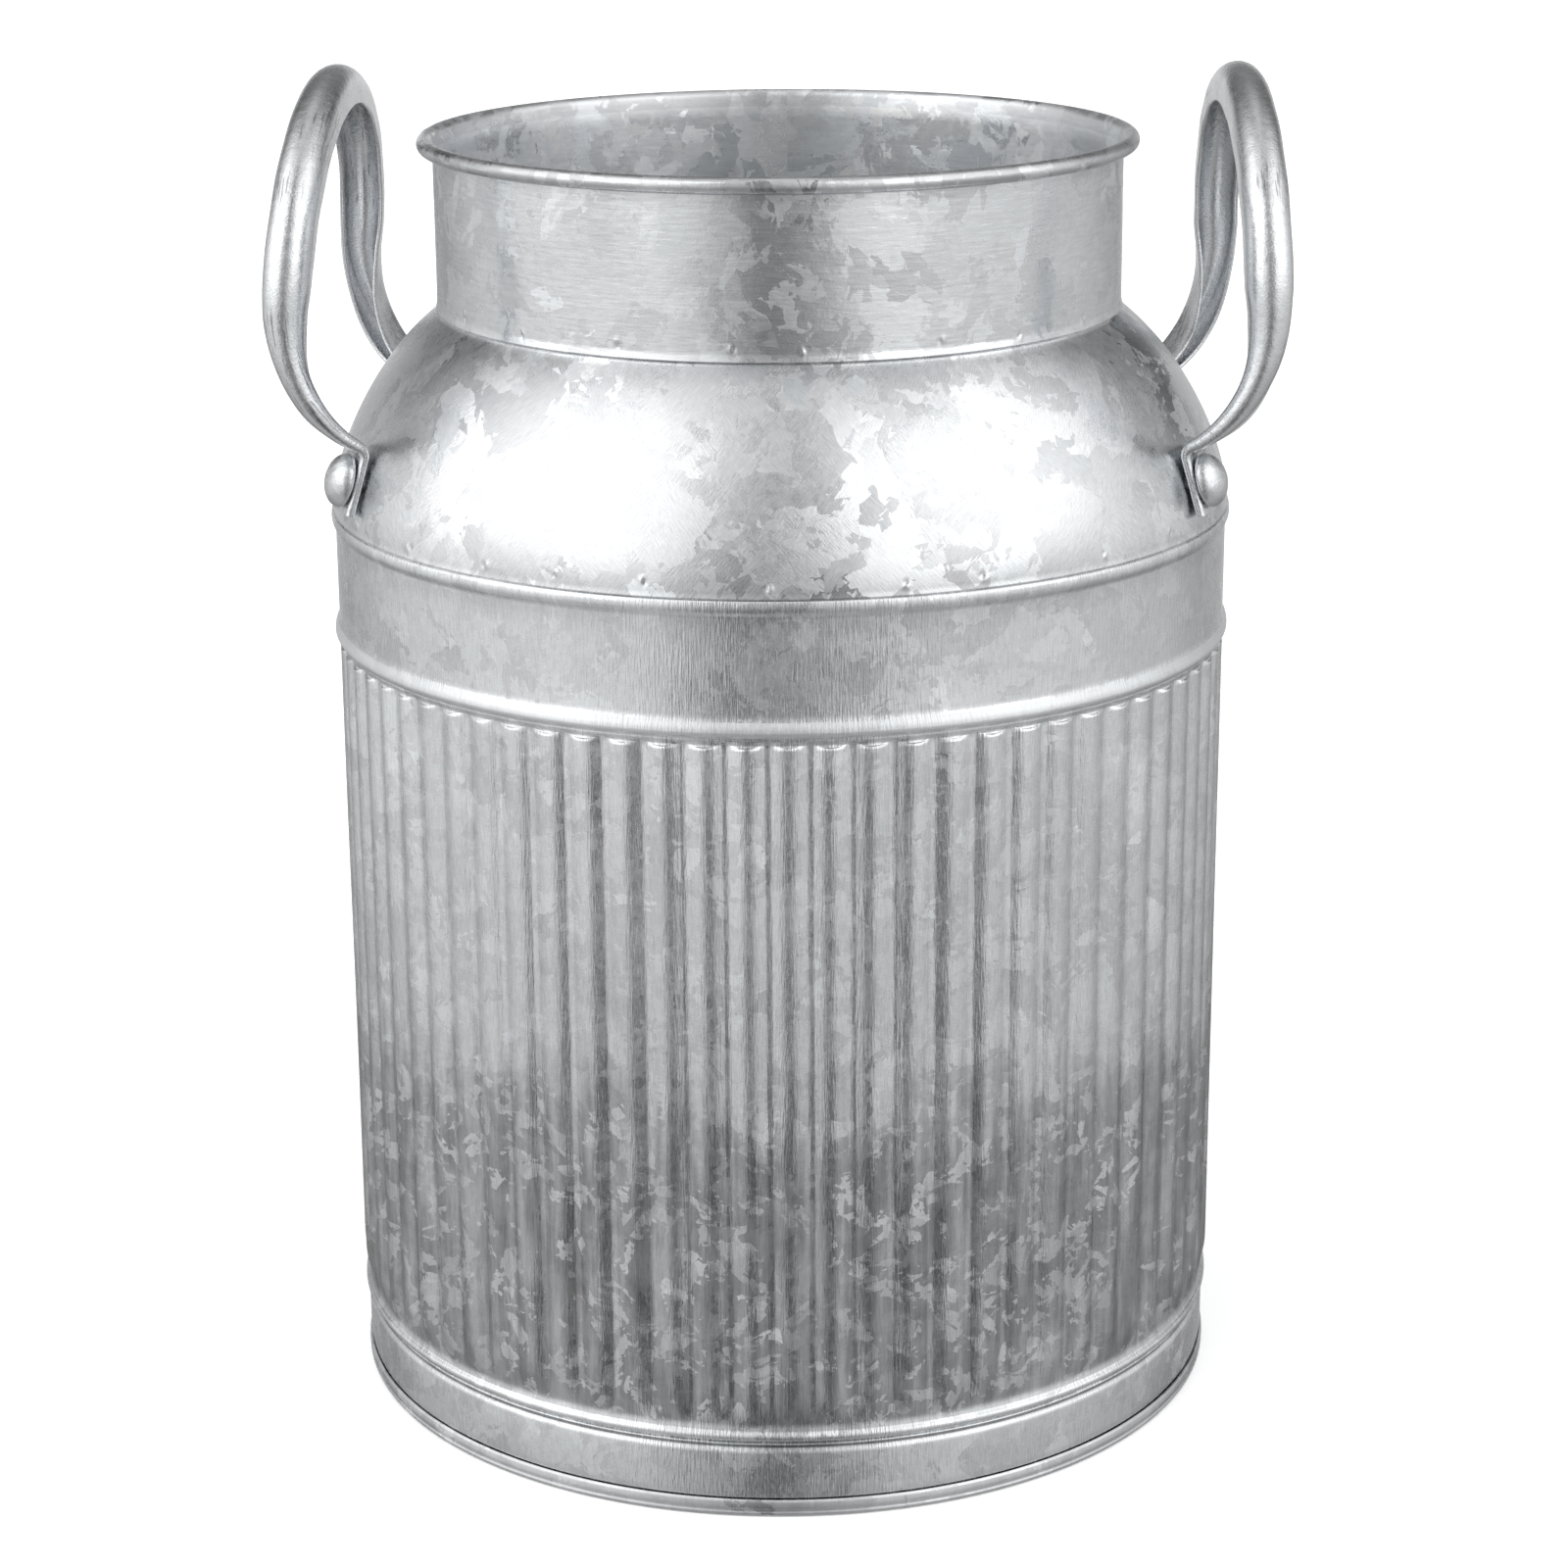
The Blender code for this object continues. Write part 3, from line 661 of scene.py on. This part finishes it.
def make_rivet(side, place, azimuth, material):
    """A slightly battered dome, its shank, and its tail peened over the washer."""
    head = 2 * GAP + 2 * PINCHED_RADIUS + HANDLE_SHEET
    tail = -SHEET - WASHER_GAP - WASHER_THICKNESS - GAP
    dome = [
        (RIVET_HEAD_RADIUS * math.cos(a), head + HEAD_EDGE + (RIVET_HEAD_HEIGHT - HEAD_EDGE) * math.sin(a))
        for a in np.linspace(math.radians(89), 0.0, 18)
    ]
    edge = [(RIVET_HEAD_RADIUS - 0.0001, head + 0.0002), (RIVET_HEAD_RADIUS - 0.0004, head)]
    shank = [(SHANK_RADIUS, head), (SHANK_RADIUS, tail)]
    peened = [(TAIL_RADIUS, tail)] + [
        (TAIL_RADIUS * math.cos(a), tail - TAIL_HEIGHT * math.sin(a)) for a in np.linspace(0.3, 1.5, 7)]
    seed = len(side) + 3 * len(place)

    def relief(angle, radius, height):
        dents = unevenness(angle, height * 4, 0.00003, seed)
        return dents * np.clip(radius / RIVET_HEAD_RADIUS, 0.0, 1.0)

    line = refined(dome + edge + shank + peened, 0.0012)
    obj = turned(f"dome_rivet_{side}_{place}", line[::-1], even(64), material, relief)
    obj.matrix_world = rivet_matrix(azimuth)
    return finish_piece(obj, f"rivet_{side}_{place}")


def make_washer(side, place, azimuth, material):
    """The burr round the rivet's shank, inside the can."""
    top = -SHEET - WASHER_GAP
    bottom = top - WASHER_THICKNESS
    bore = SHANK_RADIUS + GAP
    line = rounded([
        (bore, (top + bottom) / 2, 0.0),
        (bore, bottom, 0.0001),
        (WASHER_RADIUS, bottom, 0.0003),
        (WASHER_RADIUS, top, 0.0002),
        (bore, top, 0.0001),
        (bore, (top + bottom) / 2, 0.0),
    ])
    obj = turned(f"burr_{side}_{place}", line, even(48), material)
    obj.matrix_world = rivet_matrix(azimuth)
    return finish_piece(obj, f"washer_{side}_{place}")


# ---- materials ----
class Nodes:
    """A short way to write shader nodes."""

    def __init__(self, tree):
        self.tree = tree

    def add(self, kind, **settings):
        node = self.tree.nodes.new(kind)
        for key, value in settings.items():
            setattr(node, key, value)
        return node

    def put(self, socket, value):
        if isinstance(value, bpy.types.NodeSocket):
            self.tree.links.new(value, socket)
        else:
            socket.default_value = value

    def math(self, operation, first, second=0.0):
        node = self.add("ShaderNodeMath", operation=operation)
        self.put(node.inputs[0], first)
        self.put(node.inputs[1], second)
        return node.outputs[0]

    def vector(self, operation, first, second=(0.0, 0.0, 0.0)):
        node = self.add("ShaderNodeVectorMath", operation=operation)
        self.put(node.inputs[0], first)
        self.put(node.inputs[1], second)
        return node.outputs[0]

    def scaled(self, vector, factor):
        node = self.add("ShaderNodeVectorMath", operation="SCALE")
        self.put(node.inputs[0], vector)
        self.put(node.inputs["Scale"], factor)
        return node.outputs[0]

    def stretched(self, vector, scale, turn=0.0):
        """Coordinates turned about Z, then scaled."""
        turned_by = self.add("ShaderNodeMapping")
        self.put(turned_by.inputs["Vector"], vector)
        turned_by.inputs["Rotation"].default_value = (0.0, 0.0, turn)
        return self.vector("MULTIPLY", turned_by.outputs[0], scale)

    def noise(self, vector, scale, detail=2.0, roughness=0.5, output="Fac"):
        node = self.add("ShaderNodeTexNoise")
        self.put(node.inputs["Vector"], vector)
        node.inputs["Scale"].default_value = scale
        node.inputs["Detail"].default_value = detail
        node.inputs["Roughness"].default_value = roughness
        return node.outputs[output]

    def cells(self, vector, scale):
        """One random colour for each cell."""
        node = self.add("ShaderNodeTexVoronoi", feature="F1")
        self.put(node.inputs["Vector"], vector)
        node.inputs["Scale"].default_value = scale
        return node.outputs["Color"]

    def centred(self, colour):
        return self.vector("SUBTRACT", colour, (0.5, 0.5, 0.5))

    def about(self, value, depth):
        """A 0 to 1 value as a swing of that depth about zero."""
        return self.math("MULTIPLY", self.math("SUBTRACT", value, 0.5), depth)

    def split(self, colour):
        node = self.add("ShaderNodeSeparateColor")
        self.put(node.inputs[0], colour)
        return node.outputs[0], node.outputs[1], node.outputs[2]

    def span(self, value, low, high, to_low=0.0, to_high=1.0):
        """A smooth step from to_low to to_high as the value goes from low to high."""
        node = self.add("ShaderNodeMapRange", interpolation_type="SMOOTHSTEP")
        self.put(node.inputs["Value"], value)
        node.inputs["From Min"].default_value = low
        node.inputs["From Max"].default_value = high
        node.inputs["To Min"].default_value = to_low
        node.inputs["To Max"].default_value = to_high
        return node.outputs["Result"]

    def ramp(self, value, stops):
        """Greys read from (position, grey) stops."""
        node = self.add("ShaderNodeValToRGB")
        self.put(node.inputs[0], value)
        elements = node.color_ramp.elements
        node.color_ramp.interpolation = "B_SPLINE"
        while len(elements) < len(stops):
            elements.new(0.5)
        for element, (position, grey) in zip(elements, stops):
            element.position = position
            element.color = (grey, grey, grey, 1.0)
        return node.outputs[0]

    def blend(self, share, first, second):
        node = self.add("ShaderNodeMix", data_type="FLOAT")
        self.put(node.inputs[0], share)
        self.put(node.inputs[2], first)
        self.put(node.inputs[3], second)
        return node.outputs[0]


def zinc(name, tone, flake=0.011, contrast=0.14, roughness=0.28, polish_swing=0.24, facet=0.06, odd=1.0,
         marks=(2500.0, 60.0), turn=0.0, mark_depth=0.000012, mark_tone=0.06, pitting=0.000010, finish=None):
    """Hot-dip zinc: jagged crystal flakes, each with its own grey, polish and facing, and fine marks.

    odd is how far single shiny and frosted flakes stand out; marks gives how close the marks are along
    U and V, per metre; finish changes the grey, the roughness and how deep the marks feel, and
    every finish takes the same six arguments, whether it needs them or not."""
    material = bpy.data.materials.new(name)
    material.use_nodes = True
    n = Nodes(material.node_tree)
    shader = material.node_tree.nodes["Principled BSDF"]
    sheet = n.add("ShaderNodeUVMap", uv_map="Sheet").outputs[0]

    # jagged outlines: the coordinates bend softly, then jump in small and smaller splinters
    soft = n.centred(n.noise(sheet, 0.8 / flake, 1.0, 0.5, "Color"))
    bent = n.vector("ADD", sheet, n.scaled(soft, flake * 1.1))
    splinter = n.centred(n.cells(bent, 4.2 / flake))
    jagged = n.vector("ADD", bent, n.scaled(splinter, flake * 0.26))
    fine_splinter = n.centred(n.cells(sheet, 11.0 / flake))
    jagged = n.vector("ADD", jagged, n.scaled(fine_splinter, flake * 0.09))
    large = n.cells(jagged, 1.0 / flake)
    small = n.cells(n.vector("ADD", jagged, (0.37, 0.11, 0.0)), 2.6 / flake)

    # some large flakes hold small ones
    island = n.math("GREATER_THAN", n.split(small)[1], 0.66)
    crystal = n.vector("ADD", large, n.scaled(n.vector("SUBTRACT", small, large), island))
    grey, polish, patch = n.split(crystal)
    grain = n.noise(sheet, 2600.0, 1.0, 0.6)
    mottle = n.noise(sheet, 520.0, 3.0, 0.65)
    cloud = n.noise(sheet, 30.0, 3.0, 0.5)

    # fine marks left by rolling and brushing, in two leanings chosen by flake
    spacing = (marks[0], marks[1], 1.0)
    lines = n.noise(n.stretched(sheet, spacing, turn), 1.0, 2.0, 0.6)
    if turn:
        crossing = n.noise(n.stretched(sheet, spacing, -turn), 1.0, 2.0, 0.6)
        lines = n.blend(n.math("GREATER_THAN", patch, 0.6), lines, crossing)

    value = n.math("ADD", tone, n.about(grey, contrast))
    value = n.math("ADD", value, n.about(mottle, 0.14))
    value = n.math("ADD", value, n.about(grain, 0.12))
    value = n.math("ADD", value, n.about(cloud, 0.08))
    value = n.math("ADD", value, n.about(lines, mark_tone * 2))

    # a few flakes are frosted, more are shiny
    frosted = n.math("GREATER_THAN", n.split(small)[2], 0.94)
    value = n.math("ADD", value, n.math("MULTIPLY", frosted, 0.10 * odd))
    rough = n.math("ADD", roughness, n.about(polish, polish_swing))
    rough = n.math("ADD", rough, n.about(mottle, 0.20))
    rough = n.math("ADD", rough, n.about(grain, 0.14))
    shiny = n.math("GREATER_THAN", patch, 0.80)
    rough = n.math("MULTIPLY", rough, n.math("SUBTRACT", 1.0, n.math("MULTIPLY", shiny, 0.45 * odd)))
    rough = n.math("ADD", rough, n.math("MULTIPLY", frosted, 0.12 * odd))
    felt = mark_depth
    if finish:
        value, rough, felt = finish(n, sheet, jagged, value, rough, felt)

    tint = n.about(patch, 0.022)
    colour = n.add("ShaderNodeCombineColor")
    n.put(colour.inputs[0], n.math("MULTIPLY", value, n.math("SUBTRACT", 0.963, tint)))
    n.put(colour.inputs[1], n.math("MULTIPLY", value, 0.979))
    n.put(colour.inputs[2], value)
    n.put(shader.inputs["Base Color"], colour.outputs[0])
    shader.inputs["Metallic"].default_value = 1.0
    n.put(shader.inputs["Roughness"], n.math("MAXIMUM", rough, 0.10))

    # each flake faces its own way, and the marks and pits are felt in the gloss
    facing = n.scaled(n.centred(crystal), facet)
    normal = n.add("ShaderNodeNewGeometry").outputs["Normal"]
    tilted = n.vector("NORMALIZE", n.vector("ADD", normal, facing))
    relief = n.math("ADD", n.math("MULTIPLY", lines, felt), n.math("MULTIPLY", grain, pitting))
    relief = n.math("ADD", relief, n.math("MULTIPLY", mottle, 3 * pitting))
    bump = n.add("ShaderNodeBump")
    bump.inputs["Distance"].default_value = 1.0
    n.put(bump.inputs["Height"], relief)
    n.put(bump.inputs["Normal"], tilted)
    n.put(shader.inputs["Normal"], bump.outputs["Normal"])
    return material


def dull_zinc_and_painted_light(n, sheet, jagged, value, rough, felt):
    """A painted highlight on the bead; low on the body rougher zinc with small light flakes, darkened as a
    painted reflection of a darker floor, under a fainter painted darkening that reaches higher.
    """
    height = n.add("ShaderNodeSeparateXYZ")
    n.put(height.inputs[0], n.add("ShaderNodeNewGeometry").outputs["Position"])
    ragged = n.about(n.noise(jagged, 60.0, 4.0, 0.65), 0.036)
    fingers = n.about(n.noise(n.stretched(sheet, (420.0, 14.0, 1.0)), 1.0, 1.0, 0.5), 0.048)
    level = n.math("ADD", n.math("ADD", height.outputs["Z"], ragged), fingers)
    # painted reflection: low on the body a ragged, patchy zone is darkened for a darker floor mirrored there;
    # its extra roughness is the zinc's own
    share = n.math("SUBTRACT", 1.0, n.span(level, 0.065, 0.091))
    above_foot = n.span(height.outputs["Z"], 0.0165, 0.0190)
    share = n.math("MULTIPLY", share, above_foot)
    runs = n.noise(n.stretched(sheet, (260.0, 30.0, 1.0)), 1.0, 4.0, 0.6)
    share = n.math("MULTIPLY", share, n.span(runs, 0.34, 0.60, 0.45, 1.0))
    tiny = n.split(n.cells(jagged, 290.0))
    crowd = n.about(n.noise(sheet, 38.0, 2.0, 0.5), 0.7)
    lit = n.math("GREATER_THAN", n.math("ADD", tiny[2], crowd), 0.76)
    lit = n.math("MULTIPLY", lit, n.math("ADD", 0.45, n.math("MULTIPLY", tiny[0], 0.55)))
    share = n.math("MULTIPLY", share, n.math("SUBTRACT", 1.0, lit))
    streaks = n.noise(n.stretched(sheet, (1400.0, 45.0, 1.0)), 1.0, 2.0, 0.6)
    # painted reflection: the dark grey of that zone, with its grain and streaks
    painted_reflection_grey = n.math("ADD", 0.38, n.about(n.noise(sheet, 170.0, 5.0, 0.7), 0.36))
    painted_reflection_grey = n.math("ADD", painted_reflection_grey, n.about(streaks, 0.22))

    # the painted darkening reaches higher than the dark zone, fading out upwards as a painted reflection of
    # the floor, and both stop above the foot
    painted_reflection_fade = n.math("MULTIPLY", above_foot, n.span(height.outputs["Z"], 0.095, 0.140, 0.06, 0.0))
    value = n.math("SUBTRACT", value, painted_reflection_fade)
    value = n.blend(share, value, painted_reflection_grey)
    rough = n.blend(share, rough, n.math("ADD", rough, 0.10))
    # painted highlight: the lower bead's band is painted near white, and made rougher
    bead = n.math("COMPARE", height.outputs["Z"], 0.1497)
    bead.node.inputs[2].default_value = 0.0014
    return n.blend(bead, value, 0.88), n.blend(bead, rough, 0.46), felt


def scuffed(n, sheet, jagged, value, rough, felt):
    """Short dark scratches along a handle, here and there."""
    scratch = n.noise(n.stretched(sheet, (1900.0, 110.0, 1.0)), 1.0, 2.0, 0.6)
    where = n.noise(sheet, 42.0, 1.0, 0.5)
    share = n.math("MULTIPLY", n.span(scratch, 0.56, 0.62), n.span(where, 0.53, 0.59))
    return n.math("SUBTRACT", value, n.math("MULTIPLY", share, 0.38)), rough, felt


def neck_dullness_and_painted_light(n, sheet, jagged, value, rough, felt):
    """Inside the neck the sheet is duller and painted lighter as painted light in the hollow, and its marks
    are barely felt; the rolled rim is painted darker as painted shade.
    """
    place = n.add("ShaderNodeNewGeometry")
    height = n.add("ShaderNodeSeparateXYZ")
    n.put(height.inputs[0], place.outputs["Position"])
    # painted shade: the rolled rim is painted darker
    on_roll = n.math("GREATER_THAN", height.outputs["Z"], RIM_TOP - 0.0032)
    value = n.math("SUBTRACT", value, n.math("MULTIPLY", on_roll, 0.13))
    facing = n.add("ShaderNodeVectorMath", operation="DOT_PRODUCT")
    n.put(facing.inputs[0], n.vector("MULTIPLY", place.outputs["Position"], (1.0, 1.0, 0.0)))
    n.put(facing.inputs[1], place.outputs["Normal"])
    inside = n.math("LESS_THAN", facing.outputs["Value"], 0.0)
    # painted light: the inside of the neck is painted lighter
    value = n.math("ADD", value, n.math("MULTIPLY", inside, 0.11))
    rough = n.math("ADD", rough, n.math("MULTIPLY", inside, 0.11))
    return value, rough, n.blend(inside, felt, felt * 0.2)


# ---- studio ----
def make_floor():
    """A wide pale floor that only catches the can's soft shadow."""
    size = 6.0
    mesh = bpy.data.meshes.new("floor")
    corners = [(-size, -size, 0.0), (size, -size, 0.0), (size, size, 0.0), (-size, size, 0.0)]
    mesh.from_pydata(corners, [], [(0, 1, 2, 3)])
    material = bpy.data.materials.new("Pale floor")
    material.use_nodes = True
    shader = material.node_tree.nodes["Principled BSDF"]
    shader.inputs["Base Color"].default_value = (0.92, 0.92, 0.92, 1.0)
    shader.inputs["Roughness"].default_value = 0.9
    shader.inputs["Specular IOR Level"].default_value = 0.2
    mesh.materials.append(material)
    floor = bpy.data.objects.new("floor", mesh)
    bpy.context.scene.collection.objects.link(floor)
    floor.visible_glossy = False              # the metal reflects the studio's own lower half


def around(azimuth, elevation, distance, height=0.15):
    """A point round the can: azimuth in degrees from the front towards +X."""
    a, e = math.radians(azimuth), math.radians(elevation)
    return Vector((
        math.sin(a) * math.cos(e) * distance,
        -math.cos(a) * math.cos(e) * distance,
        math.sin(e) * distance + height,
    ))


def make_softbox(name, azimuth, elevation, distance, width, height, radiance):
    """A soft area light that faces the can; radiance is its brightness as the metal reflects it."""
    light = bpy.data.lights.new(name, "AREA")
    light.shape = "RECTANGLE"
    light.size = width
    light.size_y = height
    light.energy = radiance * math.pi * width * height
    obj = bpy.data.objects.new(name, light)
    bpy.context.scene.collection.objects.link(obj)
    obj.location = around(azimuth, elevation, distance)
    aim = Vector((0.0, 0.0, 0.17)) - obj.location
    obj.rotation_mode = "QUATERNION"
    obj.rotation_quaternion = aim.to_track_quat("-Z", "Y")


def make_ceiling():
    """Wide soft light from above for the floor; the metal doesn't reflect it."""
    light = bpy.data.lights.new("ceiling_light", "SUN")
    light.energy = 2.6
    light.angle = math.radians(100)
    obj = bpy.data.objects.new("ceiling_light", light)
    obj.visible_glossy = False
    bpy.context.scene.collection.objects.link(obj)


def make_world():
    """A soft studio: bright on both sides of the camera, darker straight in front, above and behind."""
    world = bpy.data.worlds.new("Studio")
    world.use_nodes = True
    n = Nodes(world.node_tree)
    background = world.node_tree.nodes["Background"]
    axes = n.add("ShaderNodeSeparateXYZ")
    n.put(axes.inputs[0], n.add("ShaderNodeTexCoord").outputs["Generated"])
    across, ahead, up = axes.outputs

    # azimuth from the front, -180 to 180 degrees, as 0 to 1
    azimuth = n.math("ARCTAN2", across, n.math("MULTIPLY", ahead, -1.0))
    share = n.math("ADD", n.math("DIVIDE", azimuth, math.tau), 0.5)
    ring = n.ramp(share, [((degrees + 180) / 360, grey) for degrees, grey in STUDIO_RING])
    elevation = n.math("MULTIPLY", n.math("ARCSINE", up), 180 / math.pi)
    below = n.span(elevation, -32.0, -8.0, STUDIO_BELOW, 1.0)
    above = n.span(elevation, 35.0, 80.0, 1.0, STUDIO_ABOVE)
    behind = n.span(ahead, 0.2, 0.8)
    back_wall = n.math("SUBTRACT", 1.0, n.math("MULTIPLY", n.math(
        "MULTIPLY", behind, n.span(elevation, 2.0, 14.0)), STUDIO_BACK_DROP))
    lifted = n.span(elevation, -10.0, 15.0, 1.0, 1.0 + STUDIO_LIFT)
    light = n.math("MULTIPLY", n.math("MULTIPLY", ring, below), n.math("MULTIPLY", above, back_wall))
    light = n.math("MULTIPLY", light, lifted)

    # the camera itself sees a white room
    camera_ray = n.add("ShaderNodeLightPath").outputs["Is Camera Ray"]
    n.put(background.inputs["Strength"], n.blend(camera_ray, light, 1.0))
    background.inputs["Color"].default_value = (1.0, 1.0, 1.0, 1.0)
    bpy.context.scene.world = world


def make_camera():
    data = bpy.data.cameras.new("camera")
    data.sensor_width = 36.0
    data.lens = CAMERA_LENS
    data.shift_x = CAMERA_SHIFT
    data.clip_start = 0.01
    data.clip_end = 50.0
    camera = bpy.data.objects.new("camera", data)
    bpy.context.scene.collection.objects.link(camera)
    camera.matrix_world = (
        Matrix.Rotation(CAMERA_TURN, 4, "Z")
        @ Matrix.Translation((0.0, -CAMERA_DISTANCE, CAMERA_HEIGHT))
        @ Matrix.Rotation(math.pi / 2 - CAMERA_TILT, 4, "X")
        @ Matrix.Rotation(CAMERA_ROLL, 4, "Z")
    )
    bpy.context.scene.camera = camera


def make_studio():
    bpy.context.scene.view_settings.view_transform = "Standard"
    make_world()
    make_floor()
    make_softbox("softbox_left", -64, 35, 1.6, 1.8, 1.7, 0.46)
    make_softbox("softbox_right", 60, 35, 1.6, 1.7, 1.7, 0.44)
    make_ceiling()


# ---- assembly ----
def make_can():
    """Every piece of the can, each with the material of its slot."""
    body = zinc("Zinc body sheet", 0.83, contrast=0.16, roughness=0.25, facet=0.065, odd=0.7,
                marks=(2700.0, 240.0), mark_depth=0.000090, mark_tone=0.16, finish=dull_zinc_and_painted_light)
    shoulder = zinc("Zinc shoulder sheet", 0.84, flake=0.017, contrast=0.19, roughness=0.29,
                    polish_swing=0.22, facet=0.14, odd=0.7, marks=(4200.0, 420.0), turn=0.7,
                    mark_depth=0.000026, mark_tone=0.22)
    collar = zinc("Zinc collar sheet", 0.84, flake=0.013, contrast=0.18, roughness=0.28, facet=0.08,
                  marks=(190.0, 1300.0), mark_depth=0.000055, mark_tone=0.11, finish=neck_dullness_and_painted_light)
    base = zinc("Zinc base sheet", 0.76, contrast=0.12, roughness=0.36)
    satin = zinc("Zinc handle", 0.80, contrast=0.03, roughness=0.27, polish_swing=0.04, facet=0.01, odd=0.1,
                 marks=(1800.0, 200.0), mark_depth=0.000006, mark_tone=0.03, pitting=0.000034, finish=scuffed)
    button = zinc("Zinc rivet", 0.78, contrast=0.04, roughness=0.32, polish_swing=0.04, facet=0.01, odd=0.1,
                  pitting=0.000040)
    wire = zinc("Steel wire", 0.42, contrast=0.04, roughness=0.45, odd=0.1)
    plate = zinc("Steel burr", 0.45, contrast=0.06, roughness=0.45, odd=0.1)

    make_base(base)
    make_body(body)
    make_shoulder(shoulder)
    make_collar(collar)
    make_rim_wire(wire)
    sides = {"right": HANDLE_SET_BACK, "left": math.pi - HANDLE_SET_BACK}
    for side, azimuth in sides.items():
        make_handle(side, satin)
        front = -RIVET_HALF_ANGLE if side == "right" else RIVET_HALF_ANGLE
        for place, turn in (("front", front), ("back", -front)):
            make_rivet(side, place, azimuth + turn, button)
            make_washer(side, place, azimuth + turn, plate)


make_camera()
make_studio()
make_can()
